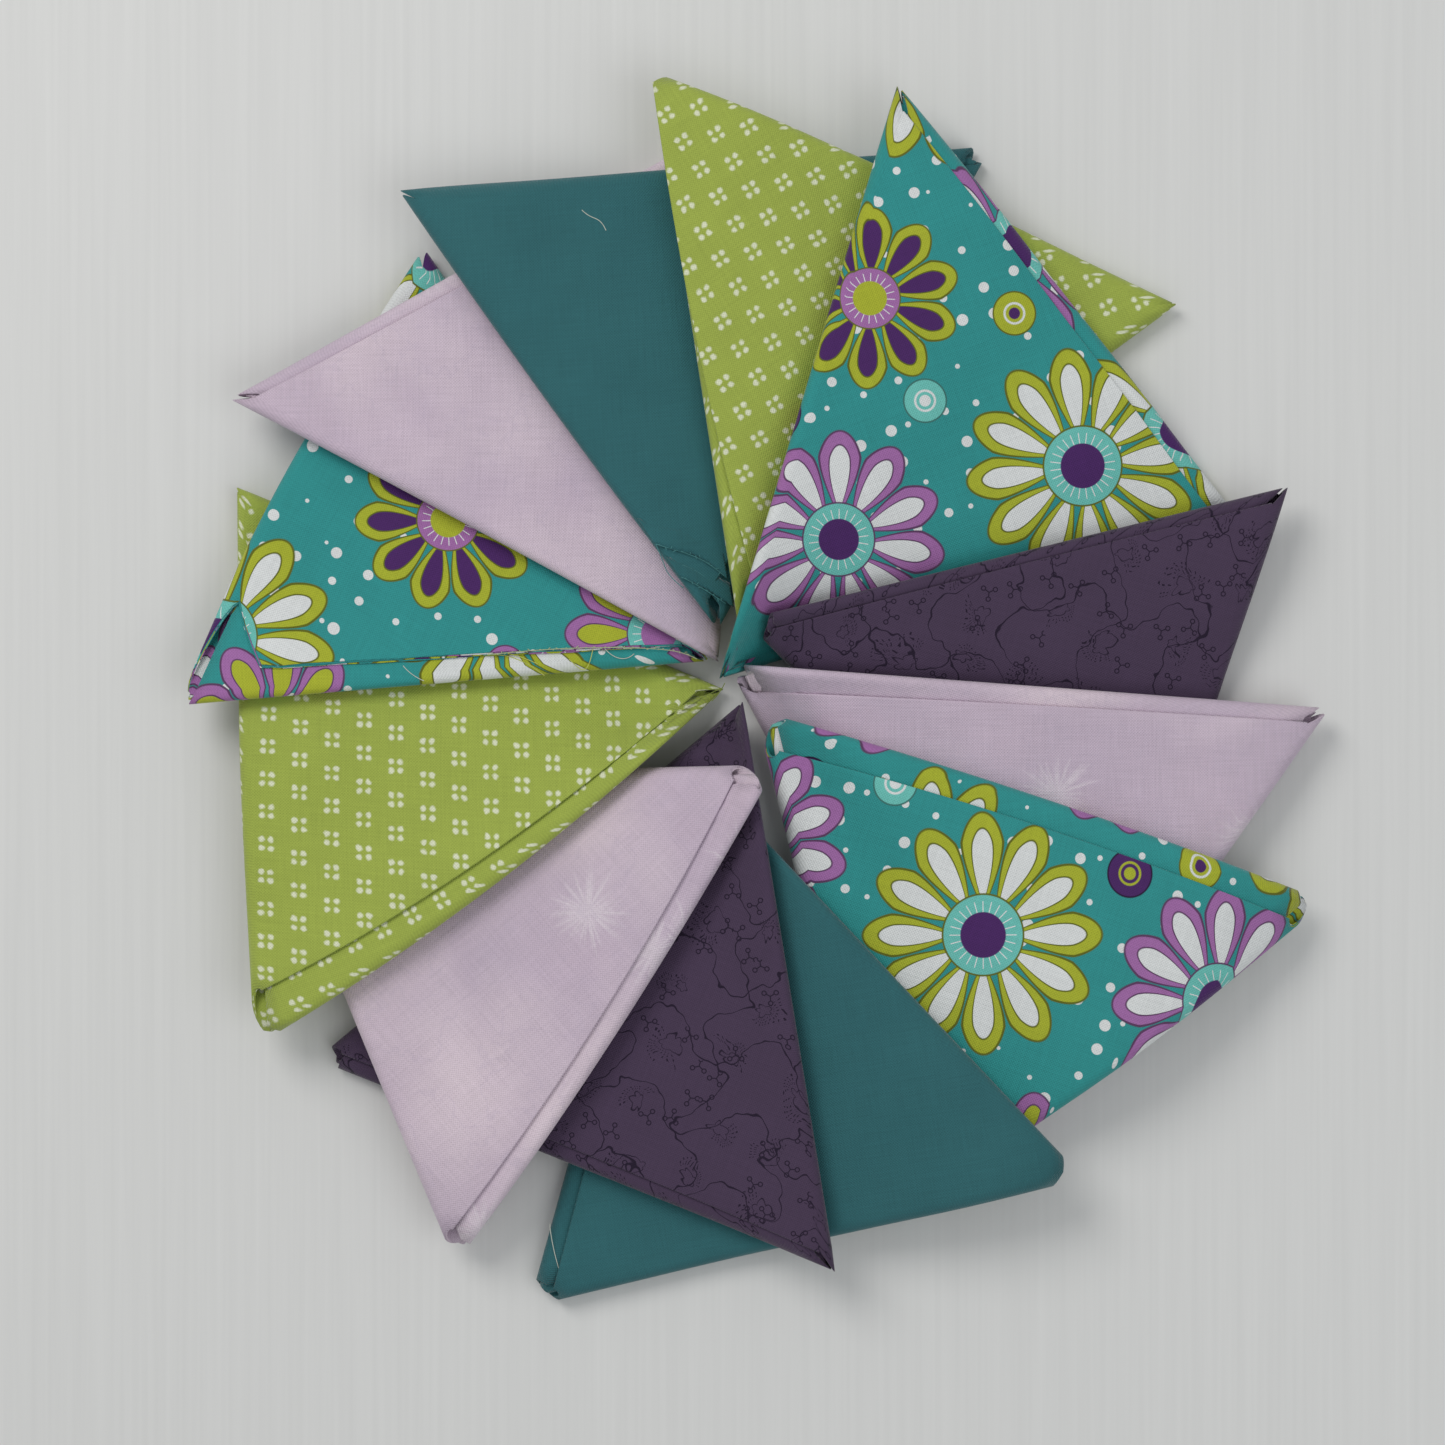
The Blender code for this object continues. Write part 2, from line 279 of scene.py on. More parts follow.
# Soft troughs and ridges of the cloth as it lies: x and y of the middle in millimetres from the
# hole, half length, half width, direction in degrees, and height, in millimetres
CREASES = {
    "01_green": ((10, 90, 60, 6, 96, -0.30), (60, 110, 40, 9, 60, 0.25)),
    "02_flower": ((40, 60, 45, 9, 80, 0.30), (75, 75, 35, 8, 120, -0.25)),
    "03_purple": ((60, 30, 40, 7, 15, 0.25), (110, 20, 25, 6, 70, -0.30)),
    "04_lavender": (
        (66, -15, 20, 5, 80, -0.45), (118, -20, 25, 6, 60, -0.45), (90, -12, 22, 6, 70, 0.30),
    ),
    "05_flower": ((60, -40, 40, 9, 150, 0.30), (110, -85, 30, 8, 40, -0.30)),
    "06_teal": ((45, -85, 50, 6, 120, -0.35), (20, -120, 30, 8, 95, 0.30)),
    "07_purple": ((12, -90, 50, 6, 95, 0.25), (-15, -135, 30, 7, 20, -0.25)),
    "08_lavender": (
        (-34, -45, 28, 5, 65, -0.40), (-44, -60, 30, 5, 62, 0.30), (-25, -70, 22, 5, 80, -0.40),
        (-70, -75, 30, 9, 50, 0.25), (-95, -120, 20, 6, 70, -0.30),
    ),
    "09_green": ((-70, -25, 50, 9, 200, 0.30), (-110, -60, 30, 8, 120, -0.25)),
    "10_flower": ((-80, 35, 40, 9, 150, 0.30), (-120, 10, 25, 7, 60, -0.25)),
    "11_lavender": (
        (-55, 55, 24, 5, 130, -0.40), (-30, 38, 16, 4, 60, -0.35), (-20, 26, 14, 4, 50, 0.30),
        (-95, 85, 30, 7, 140, 0.25),
    ),
    "12_teal": ((-40, 90, 40, 8, 120, 0.25), (-20, 50, 20, 5, 60, -0.30)),
}
SWELL = 0.16 * MM
SWELL_WAVES = ((61.0, 0.6, 0.3), (-38.0, 47.0, 1.9), (24.0, -83.0, 4.1))


def swell(name, points):
    """The height that the cloth's own creases and unevenness add."""
    place = (points + RING_MIDDLE) / MM
    height = np.zeros(len(points))
    for x, y, half_length, half_width, direction, rise in CREASES[name]:
        angle = math.radians(direction)
        along = (place - (x, y)) @ (math.cos(angle), math.sin(angle))
        across = (place - (x, y)) @ (-math.sin(angle), math.cos(angle))
        height += rise * MM * np.exp(-((along / half_length) ** 2) - (across / half_width) ** 2)
    shift = list(RING).index(name)
    for across, up, phase in SWELL_WAVES:
        height += SWELL / len(SWELL_WAVES) * np.sin(points @ (across, up) + phase + shift)
    return height


def fold_corners(corners):
    """The corners of the flat layers: moved in, so that the widest fold reaches the outline."""
    moved = []
    for i, corner in enumerate(corners):
        left = unit(corners[(i + 1) % 3] - corner)
        right = unit(corners[(i + 2) % 3] - corner)
        sine = abs(left[0] * right[1] - left[1] * right[0])
        moved.append(corner + (left + right) * FOLD_REACH / sine)
    return np.array(moved)


def fold_sides(tuck_side):
    """The side of each fold in turn, going round the triangle so that the last is the tuck side."""
    return [(tuck_side - TAIL_TURN + 1 + turn) % 3 for turn in range(TAIL_TURN)]


def level_height(turn):
    return STRIP_THICK / 2 + (LEVELS[turn] - 1) * LAYER_PITCH


def corner_draw(row, flat, corner):
    """How far a fold's end is drawn along its side at a corner, for each unit of its radius."""
    left = unit(flat[(corner + 1) % 3] - flat[corner])
    right = unit(flat[(corner + 2) % 3] - flat[corner])
    half_angle = math.acos(np.dot(left, right)) / 2
    return row["points"][corner] / math.tan(half_angle)


def unfolded_strip(tuck_side, lip_steps):
    """One ply of the strip before it is laid: x and y are its shares of the lead and trail corners,
    and z counts the turns, with each fold between two of them. The top layer's free edge carries a
    lip a little outside the triangle."""
    shares = np.array([(0.0, 0.0), (1.0, 0.0), (0.0, 1.0)])
    bm = bmesh.new()
    corners = []
    for turn in range(len(LEVELS)):
        corners.append([bm.verts.new((x, y, turn)) for x, y in shares])
    for turn in range(TAIL_TURN):
        bm.faces.new(corners[turn])
    first, last, far = (tuck_side + 1) % 3, (tuck_side + 2) % 3, tuck_side
    tail = []
    for corner in (last, first):
        end = shares[corner] + (shares[far] - shares[corner]) * TAIL_SHARE
        tail.append(bm.verts.new((*end, TAIL_TURN)))
    bm.verts.remove(corners[TAIL_TURN][far])
    bm.faces.new([corners[TAIL_TURN][first], corners[TAIL_TURN][last], *tail])
    for turn, side in enumerate(fold_sides(tuck_side)):
        a, b = (side + 1) % 3, (side + 2) % 3
        here, above = corners[turn], corners[turn + 1]
        bm.faces.new([here[a], here[b], above[b], above[a]])
    rising = [e for e in bm.edges if abs(e.verts[0].co.z - e.verts[1].co.z) > 0.5]
    bmesh.ops.subdivide_edges(bm, edges=rising, cuts=FOLD_STEPS - 1, use_grid_fill=True)
    level = [e for e in bm.edges if abs(e.verts[0].co.z - e.verts[1].co.z) < 1e-4]
    bmesh.ops.subdivide_edges(bm, edges=level, cuts=SIDE_STEPS - 1, use_grid_fill=True)

    def on_free_edge(vert):
        share = (1 - vert.co.x - vert.co.y, vert.co.x, vert.co.y)[tuck_side]
        return share < 1e-4 and abs(vert.co.z - TOP_TURN) < 1e-4

    rim = [e for e in bm.edges if all(on_free_edge(v) for v in e.verts)]
    for _ in range(lip_steps):
        grown = bmesh.ops.extrude_edge_only(bm, edges=rim)["geom"]
        verts = [g for g in grown if isinstance(g, bmesh.types.BMVert)]
        rim = [g for g in grown if isinstance(g, bmesh.types.BMEdge)]
        for vert in verts:
            x, y = shares[tuck_side] + (np.array(vert.co.xy) - shares[tuck_side]) * (1 + LIP_SHARE)
            vert.co = (x, y, TOP_TURN)
    return bm


def bowed(row, flat, shares):
    """How far the points of a layer move because its sides bow outwards."""
    moves = np.zeros((len(shares), 2))
    for side, bow in enumerate(row["bows"]):
        swing = 4 * shares[:, (side + 1) % 3] * shares[:, (side + 2) % 3] * bow * MM
        moves -= inward(flat, side) * swing[:, None]
    return moves


def slid(name, flat, tuck_side, turn, shares, stagger):
    """The plan points of one turn, with its free edges drawn in from the fold lines."""
    row = row_of(name)
    folds = fold_sides(tuck_side)
    points = shares @ flat
    for side in {0, 1, 2} - set(folds[max(turn - 1, 0):turn + 1]):
        opposite = flat[side]
        height = (opposite - flat[(side + 1) % 3]) @ inward(flat, side)
        depth = shares[:, side] * height
        inset = np.full(len(points), INNER_EDGE_INSET)
        if turn == TOP_TURN:
            along = shares[:, (side + 2) % 3] / np.maximum(1e-9, 1 - shares[:, side])
            start, middle, end = (band * MM - TAIL_FOLD_REACH for band in row["bands"])
            if side == TIP_TRAIL:
                start, end = end, start
            inset = start * (1 - along) * (1 - 2 * along) + middle * 4 * along * (1 - along)
            inset = inset + end * along * (2 * along - 1) + stagger(along)
            if name in TURNED_BACK:
                wider, reach = TURNED_BACK[name]
                inset = inset + wider * MM * np.maximum(0, 1 - (1 - along) / reach)
        fades = np.maximum(INSET_FADES, inset * 1.5)
        slide = inset * np.maximum(0, 1 - depth / fades) / np.maximum(1e-9, height - depth)
        points = points + (opposite - points) * slide[:, None]
    return points


def top_map(name):
    """The matrix and shift from plan points of a packet's top layer to the flat cloth."""
    angle = math.radians(row_of(name)["grain"])
    spin = np.array([[math.cos(angle), math.sin(angle)], [-math.sin(angle), math.cos(angle)]])
    place, on_print = (np.array(p) * MM for p in PRINT_PLACES.get(name, ((0, 0), (0, 0))))
    return spin, on_print - spin @ (place - RING_MIDDLE)


def cloth_maps(name, flat, tuck_side):
    """For each turn, the matrix and shift that lay its plan points out on the flat cloth."""
    maps = {TOP_TURN: top_map(name)}
    folds = fold_sides(tuck_side)
    for turn in (TOP_TURN, TOP_TURN + 1, *range(TOP_TURN, 0, -1)):
        other = turn + 1 if turn >= TOP_TURN and turn + 1 not in maps else turn - 1
        side = folds[min(turn, other)]
        out = -inward(flat, side)
        radius = abs(level_height(turn) - level_height(other)) / 2
        matrix, shift = maps[turn]
        reach = 2 * np.dot(flat[(side + 1) % 3], out) + math.pi * radius
        maps[other] = (matrix @ (np.eye(2) - 2 * np.outer(out, out)), shift + matrix @ out * reach)
    return maps


def laid_ply(name, ply, spots, stagger, lip_steps):
    """Where the points of an unfolded ply lie in the packet, and on the flat cloth."""
    row = row_of(name)
    tuck_side = row["tuck"]
    flat = fold_corners(corners_of(name))
    folds = fold_sides(tuck_side)
    maps = cloth_maps(name, flat, tuck_side)
    inner = ((PLIES - 1) / 2 - ply) * PLY_PITCH
    shares = np.stack([1 - spots[:, 0] - spots[:, 1], spots[:, 0], spots[:, 1]], axis=1)
    lip = np.maximum(0, -shares[:, tuck_side]) / LIP_SHARE
    shares = np.maximum(shares, 0)
    shares = shares / shares.sum(axis=1, keepdims=True)
    plan, cloth = np.zeros((len(spots), 2)), np.zeros((len(spots), 2))
    rise = np.zeros(len(spots))
    for turn in range(len(LEVELS)):
        up = 1 if turn % 2 == 0 else -1
        here = np.abs(spots[:, 2] - turn) < 1e-4
        laid = slid(name, flat, tuck_side, turn, shares[here], stagger)
        plan[here] = laid + bowed(row, flat, shares[here])
        rise[here] = level_height(turn) + up * inner
        matrix, shift = maps[turn]
        cloth[here] = laid @ matrix.T + shift
        if turn == TAIL_TURN:
            continue
        side = folds[turn]
        here = (spots[:, 2] > turn + 1e-4) & (spots[:, 2] < turn + 1 - 1e-4)
        angle = math.pi * (spots[here, 2] - turn)
        across = (1 - np.cos(angle))[:, None] / 2
        base = slid(name, flat, tuck_side, turn, shares[here], stagger) * (1 - across)
        base = base + slid(name, flat, tuck_side, turn + 1, shares[here], stagger) * across
        first, last = (side + 1) % 3, (side + 2) % 3
        share = shares[here, last]
        draw = share * corner_draw(row, flat, last) - (1 - share) * corner_draw(row, flat, first)
        out = -inward(flat, side)
        along = unit(flat[last] - flat[first])
        radius = abs(level_height(turn) - level_height(turn + 1)) / 2
        reach = radius - inner
        sine = (reach * np.sin(angle))[:, None]
        plan[here] = base + bowed(row, flat, shares[here]) + (out + along * draw[:, None]) * sine
        middle = (level_height(turn) + level_height(turn + 1)) / 2
        rise[here] = middle - up * reach * np.cos(angle)
        cloth[here] = base @ matrix.T + shift + (matrix @ out) * (angle * radius)[:, None]
    plan = nosed(plan, corners_of(name))
    on_lip = lip > 0.5
    out = -inward(flat, tuck_side)
    if lip_steps == 1:
        plan[on_lip] += out * RAW_LIP_WIDTH
    else:
        angle = math.pi * lip[on_lip] / lip_steps
        half = abs(inner)
        plan[on_lip] += out * (half * np.sin(angle))[:, None]
        rise[on_lip] -= half * (1 - np.cos(angle))
    cloth[on_lip] += (maps[TOP_TURN][0] @ out) * (lip[on_lip] * LIP_CLOTH_STEP)[:, None]
    height = lie_height(name, plan) + rise + swell(name, plan)
    return np.column_stack([plan, height]), cloth


def nosed(plan, corners):
    """Plan points drawn back near each corner, so that the outline runs round the nose's circle."""
    for i, corner in enumerate(corners):
        left = unit(corners[(i + 1) % 3] - corner)
        right = unit(corners[(i + 2) % 3] - corner)
        half_angle = math.acos(np.dot(left, right)) / 2
        middle = unit(left + right)
        inwards = (plan - corner) @ middle
        aside = np.clip(inwards * math.tan(half_angle), 0, NOSE * math.cos(half_angle))
        drawn = NOSE / math.sin(half_angle) - np.sqrt(NOSE**2 - aside**2)
        tangent = NOSE * math.cos(half_angle) / math.tan(half_angle)
        near = inwards < tangent
        plan[near] += (drawn - inwards)[near, None] * middle
    return plan


# A cut end of the cloth laps over a packet's top: it rises to its frayed edge, sinks into the top
# behind it, and its two ends run back from the hole along the packet's sides
LAP_RISE = 0.55 * MM
LAP_SINK = 0.5 * MM
LAP_COLUMNS = 40
LAP_ROWS = 4
LAP_SIDES = ((-0.56, 0.83), (-0.16, 0.99))
# The ragged edge as two waves: height, waves to the edge's length, and phase
LAP_WAVES = ((0.18 * MM, 71, 0), (0.12 * MM, 173, 1))
# Each lap: how far it reaches back from its edge, and the edge's points, in millimetres from the
# hole
LAPS = {
    "12_teal": (
        (9, ((-21.4, 42.0), (-16.8, 40.6), (-9.6, 38.9), (-4.9, 36.0), (-0.4, 32.0))),
        (7, ((-14.2, 32.6), (-10.6, 31.2), (-5.5, 28.6), (1.3, 24.0))),
    ),
}


def lapped_end(name, reach, edge):
    """One lap as a mesh that rises to its frayed edge, with its place on the flat cloth."""
    bm = bmesh.new()
    bmesh.ops.create_grid(bm, x_segments=LAP_COLUMNS, y_segments=LAP_ROWS, size=0.5)
    mesh = bpy.data.meshes.new("lap")
    bm.to_mesh(mesh)
    bm.free()
    spots = np.zeros(len(mesh.vertices) * 3, np.float32)
    mesh.vertices.foreach_get("co", spots)
    along, back = spots.reshape(-1, 3)[:, 0] + 0.5, spots.reshape(-1, 3)[:, 1] + 0.5
    edge = np.array(edge) * MM
    knots = np.linspace(0, 1, len(edge))
    ragged = sum(height * np.sin(along * waves + phase) for height, waves, phase in LAP_WAVES)
    plan = np.stack([np.interp(along, knots, edge[:, axis]) for axis in (0, 1)], axis=1)
    behind = np.stack([np.interp(along, (0, 1), side) for side in zip(*LAP_SIDES)], axis=1)
    plan = plan - RING_MIDDLE + behind * (back * reach * MM + (1 - back) * ragged)[:, None]
    rise = LAP_RISE * np.sqrt(np.maximum(0, 1 - back)) - LAP_SINK * back**2
    height = lie_height(name, plan) + swell(name, plan) + PACKET_THICK + rise
    places = np.column_stack([plan, height])
    mesh.vertices.foreach_set("co", places.astype(np.float32).ravel())
    spin, shift = top_map(name)
    return mesh, plan @ spin.T + shift


# Each ply of a raw edge is cut this much further in, with a wave, in millimetres
FRAY_STAGGER = 0.32
FRAY_WAVE = 0.12


def ragged_edge(ply):
    """How far one ply's raw edge stands in, as a function of the place along it."""
    def stagger(along):
        wave = np.sin(along * 19 + ply * 2.1) + 0.6 * np.sin(along * 47 + ply)
        return (ply * FRAY_STAGGER + FRAY_WAVE * wave) * MM

    return stagger


def straight_edge(along):
    return np.zeros(len(along))


THREAD_RADIUS = 0.12 * MM
FRAY_STEP = 1.3 * MM
FIBRE_LEAN = 0.5
# Loose threads and frayed edges that lie on the packets: the cloth, the fringe's length in
# millimetres, and the route, as x and y in millimetres from the hole and the layers under it
THREADS = {
    "09_green": (
        ("green", 0, ((-5.0, -3.2, 5), (-3.8, -2.0, 5), (-2.6, -0.8, 5), (-1.2, 2.0, 5))),
        ("green", 0, ((-8.5, -2.4, 6), (-6.2, -1.4, 6), (-4.4, -0.4, 6), (-2.2, 0.6, 6))),
    ),
    "10_flower": (
        ("edge", 0.5, ((-70, 10.2, 6), (-56.3, 11.6, 6), (-42.9, 12.3, 6), (-30.2, 12.3, 6),
                       (-18.9, 11.9, 6), (-12.8, 10.9, 6), (-9.3, 9.0, 6))),
        ("lime", 0, ((-69.6, 10.4, 6), (-65, 10.2, 5), (-61.2, 9.0, 5), (-57, 6.9, 5),
                     (-53.4, 4.1, 5))),
        ("lime", 0, ((-64.1, 10.6, 6), (-60, 9.7, 5), (-55.4, 7.5, 5))),
        ("lime", 0, ((-46.4, 9.0, 5), (-44.0, 6.6, 5), (-42.0, 5.0, 5), (-40.4, 7.0, 5),
                     (-39.4, 11.9, 6))),
        ("pale", 0, ((-94.3, 7.0, 5), (-91.9, 4.1, 5), (-88.2, 2.6, 5))),
        ("pale", 0, ((-36, 12.0, 6), (-33.5, 9.0, 5), (-30, 8.0, 5), (-27.5, 10.5, 5))),
    ),
    "12_teal": (
        # The frayed edges of the cut end, in a teal thread colour lighter than the cloth: a painted
        # highlight of the lit raw edge
        ("teal", 0.8, ((-21.2, 42.0, 6.5), (-16.8, 40.6, 6.5), (-9.6, 38.9, 6.5),
                       (-4.9, 36.0, 6.5), (-1.4, 33.0, 6.5))),
        ("teal", 0.7, ((-13.8, 32.5, 6.5), (-10.6, 31.2, 6.5), (-5.5, 28.1, 6.5),
                       (-1.0, 25.0, 6.5))),
        ("teal", 0, ((-21.5, 42.8, 6), (-19.7, 38.9, 6), (-18.6, 35.6, 6), (-17.4, 32.6, 6),
                     (-13.1, 29.3, 6))),
        ("teal", 0, ((-13.5, 36.0, 6), (-9.0, 34.6, 6), (-6.2, 31.9, 6), (-3.0, 30.0, 6))),
        ("pale", 0, ((-42.6, 138.9, 6), (-40.8, 137.1, 6), (-38.3, 136.6, 6), (-36.6, 135.2, 6),
                     (-35.6, 133.0, 6))),
    ),
    "06_teal": (
        ("pale", 0, ((-52.2, -155.4, 6), (-51.9, -159.2, 6), (-50.8, -164.7, 5),
                     (-49.6, -168.4, 5))),
    ),
}
THREAD_COLOURS = {
    "green": (0.30, 0.38, 0.07),
    "edge": (0.52, 0.60, 0.36),
    "lime": (0.62, 0.66, 0.16),
    "pale": (0.66, 0.70, 0.62),
    # The teal threads are frayed fibres of the teal cloth, coloured lighter than it: a painted
    # highlight of the lit raw edge
    "teal": (0.080, 0.270, 0.280),
}


def thread_cotton(tone):
    """Loose cotton thread, a little uneven in colour."""
    name = tone + "_thread"
    if name in bpy.data.materials:
        return bpy.data.materials[name]
    material = bpy.data.materials.new(name)
    material.use_nodes = True
    tree = material.node_tree
    place = tree.nodes.new("ShaderNodeTexCoord").outputs["Object"]
    colour = THREAD_COLOURS[tone]
    worn = layered(tree, clouded(tree, place, 700, 2), tuple(c * 0.72 for c in colour), colour)
    wire(tree, tree.nodes["Principled BSDF"].inputs["Base Color"], worn)
    tree.nodes["Principled BSDF"].inputs["Roughness"].default_value = 0.9
    return material


def fringe(route, fibre_length):
    """Short fibres that stand out to both sides of a frayed edge, as routes of their own. Their
    lengths and leans come from sines of their count, so they are uneven but always the same."""
    fibres = []
    count = 0
    for start, end in zip(route, route[1:]):
        start, end = np.array(start), np.array(end)
        along = unit((end - start)[:2])
        across = np.array((-along[1], along[0], 0))
        steps = max(1, int(np.linalg.norm((end - start)[:2]) * MM / FRAY_STEP))
        for step in range(steps):
            count += 1
            root = start + (end - start) * step / steps
            lean = np.array((*along, 0)) * math.sin(count * 2.3) * FIBRE_LEAN
            share = 0.55 + 0.45 * math.sin(count * 5.1)
            side = across * math.cos(count * math.pi) * fibre_length * share
            middle, end_point = root + (side + lean) * 0.6, root + side + lean * 1.5
            fibres.append((tuple(root), tuple(middle), tuple(end_point)))
    return fibres


def loose_threads(name):
    """The loose threads of one packet, as a mesh that lies on its top."""
    pieces = []
    for number, (tone, fringe_length, route) in enumerate(THREADS.get(name, ())):
        curve = bpy.data.curves.new("thread", "CURVE")
        curve.dimensions = "3D"
        curve.bevel_depth = THREAD_RADIUS
        curve.bevel_resolution = 1
        curve.use_fill_caps = True
        curve.resolution_u = 5
        fibres = fringe(route, fringe_length) if fringe_length else []
        for line in [route, *fibres]:
            spline = curve.splines.new("NURBS")
            spline.points.add(len(line) - 1)
            spline.order_u = min(4, len(line))
            spline.use_endpoint_u = True
            for point, (x, y, layers) in zip(spline.points, line):
                plan = np.array((x, y)) * MM - RING_MIDDLE
                top = layers * LAYER_PITCH - (LAYER_PITCH - STRIP_THICK) + THREAD_RADIUS
                height = (lie_height(name, plan[None]) + swell(name, plan[None]))[0] + top
                point.co = (*plan, height, 1)
        drawn = bpy.data.objects.new("thread", curve)
        bpy.context.collection.objects.link(drawn)
        bpy.context.view_layer.update()
        evaluated = drawn.evaluated_get(bpy.context.evaluated_depsgraph_get())
        mesh = bpy.data.meshes.new_from_object(evaluated)
        bpy.data.objects.remove(drawn, do_unlink=True)
        mesh.name = "thread_{}_{}".format(name, number)
        mesh.materials.clear()
        mesh.materials.append(thread_cotton(tone))
        thread = bpy.data.objects.new(mesh.name, mesh)
        bpy.context.collection.objects.link(thread)
        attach(thread, "root")
        pieces.append(thread)
    return pieces


# How far apart on the flat cloth the same point of two neighbouring plies is
CLOTH_BETWEEN_PLIES = np.array((0.13, 0.09))


def folded_quarter(name, material, raw_edge=False):
    """One fat quarter, folded and laid in its place in the ring, as a sheet of cloth."""
    tuck_side = row_of(name)["tuck"]
    whole = bmesh.new()
    cloth = []
    for ply in range(PLIES):
        outermost = ply == PLIES - 1
        lip_steps = 1 if raw_edge else LIP_STEPS if outermost else 0
        strip = unfolded_strip(tuck_side, lip_steps)
        mesh = bpy.data.meshes.new("ply")
        strip.to_mesh(mesh)
        strip.free()
        spots = np.zeros(len(mesh.vertices) * 3, np.float32)
        mesh.vertices.foreach_get("co", spots)
        spots = spots.reshape(-1, 3).astype(float)
        stagger = ragged_edge(ply) if raw_edge else straight_edge
        places, on_cloth = laid_ply(name, ply, spots, stagger, lip_steps)
        mesh.vertices.foreach_set("co", places.astype(np.float32).ravel())
        whole.from_mesh(mesh)
        cloth.append(on_cloth + CLOTH_BETWEEN_PLIES * ply)
        bpy.data.meshes.remove(mesh)
    for reach, edge in LAPS.get(name, ()):
        mesh, on_cloth = lapped_end(name, reach, edge)
        whole.from_mesh(mesh)
        cloth.append(on_cloth)
        bpy.data.meshes.remove(mesh)
    bmesh.ops.recalc_face_normals(whole, faces=whole.faces)
    mesh = bpy.data.meshes.new("quarter_" + name)
    whole.to_mesh(mesh)
    whole.free()
    cloth = np.concatenate(cloth)
    corner_verts = np.zeros(len(mesh.loops), np.int32)
    mesh.loops.foreach_get("vertex_index", corner_verts)
    places = cloth[corner_verts].astype(np.float32).ravel()
    mesh.uv_layers.new(name="cloth").data.foreach_set("uv", places)
    mesh.polygons.foreach_set("use_smooth", [True] * len(mesh.polygons))
    mesh.materials.append(material)
    quarter = bpy.data.objects.new("quarter_" + name, mesh)
    bpy.context.collection.objects.link(quarter)
    thickness = quarter.modifiers.new("cotton_thickness", "SOLIDIFY")
    thickness.thickness = PLY_THICK
    thickness.offset = 0
    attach(quarter, "root")
    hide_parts("packet_" + name)
    threads = loose_threads(name)
    return quarter


THREAD_PITCH = 0.42 * MM
SLUB_SCALE = 60
SLUB_STRETCH = (30, 1.2)
WEAR_SCALE = 55
# How much the slubs, the weave and the wear lighten the colour, and how far each stands up
DARKEST_SHADE = 0.75
SLUB_SHADE, WEAVE_SHADE, WEAR_SHADE = 0.17, 0.10, 0.14
SLUB_RELIEF, WEAVE_RELIEF, WEAR_RELIEF = 0.09 * MM, 0.06 * MM, 0.5 * MM


def cotton(name, print_of):
    """Plain-woven cotton: print_of(tree, cloth) gives its colour, and the weave its relief."""
    material = bpy.data.materials.new(name)
    material.use_nodes = True
    tree = material.node_tree
    shader = tree.nodes["Principled BSDF"]
    uv = tree.nodes.new("ShaderNodeUVMap")
    uv.uv_map = "cloth"
    cloth = uv.outputs[0]
    split = tree.nodes.new("ShaderNodeSeparateXYZ")
    tree.links.new(cloth, split.inputs[0])
    across, up = (
        maths(tree, "SINE", maths(tree, "MULTIPLY", split.outputs[axis], math.pi / THREAD_PITCH))
        for axis in (0, 1)
    )
    crossing = maths(tree, "MULTIPLY", across, up)
    warp_slubs = clouded(tree, cloth, SLUB_SCALE, 1, (*SLUB_STRETCH, 1))
    weft_slubs = clouded(tree, cloth, SLUB_SCALE, 1, (*SLUB_STRETCH[::-1], 1))
    slubs = maths(tree, "ADD", warp_slubs, weft_slubs)
    wear = clouded(tree, cloth, WEAR_SCALE, 3)
    shade = maths(tree, "MULTIPLY_ADD", slubs, SLUB_SHADE, DARKEST_SHADE)
    shade = maths(tree, "MULTIPLY_ADD", crossing, WEAVE_SHADE, shade)
    shade = maths(tree, "MULTIPLY_ADD", wear, WEAR_SHADE, shade)
    toned = tree.nodes.new("ShaderNodeVectorMath")
    toned.operation = "SCALE"
    tree.links.new(print_of(tree, cloth), toned.inputs[0])
    tree.links.new(shade, toned.inputs["Scale"])
    tree.links.new(toned.outputs[0], shader.inputs["Base Color"])
    relief = maths(tree, "MULTIPLY", crossing, WEAVE_RELIEF)
    relief = maths(tree, "MULTIPLY_ADD", slubs, SLUB_RELIEF, relief)
    relief = maths(tree, "MULTIPLY_ADD", wear, WEAR_RELIEF, relief)
    bump = tree.nodes.new("ShaderNodeBump")
    bump.inputs["Strength"].default_value = 1.0
    bump.inputs["Distance"].default_value = 1.0
    tree.links.new(relief, bump.inputs["Height"])
    tree.links.new(bump.outputs[0], shader.inputs["Normal"])
    shader.inputs["Roughness"].default_value = 0.85
    shader.inputs["Sheen Weight"].default_value = 0.25
    shader.inputs["Sheen Roughness"].default_value = 0.4
    shader.inputs["Specular IOR Level"].default_value = 0.25
    return material


GREEN = (0.360, 0.443, 0.077)
DOT_WHITE = (0.74, 0.77, 0.56)
CLUSTER_STEP = (8.9 * MM, 9.4 * MM)
CLUSTER_DROP = 3.3 / 9.4
DOT_SPACING = 1.27 * MM
DOT_RADIUS = 0.80 * MM
DOT_SOFT = 0.5 * MM
DOT_WANDER = 0.9 * MM


def step_below(tree, value, limit, softness):
    """1 where a value is below a limit, 0 above it, soft over a small width."""
    share = maths(tree, "DIVIDE", maths(tree, "SUBTRACT", limit, value), softness)
    return maths(tree, "ADD", share, 0.5, clamp=True)


def length(tree, across, up):
    """The distance that two coordinates make."""
    squared = [maths(tree, "MULTIPLY", part, part) for part in (across, up)]
    return maths(tree, "SQRT", maths(tree, "ADD", *squared))


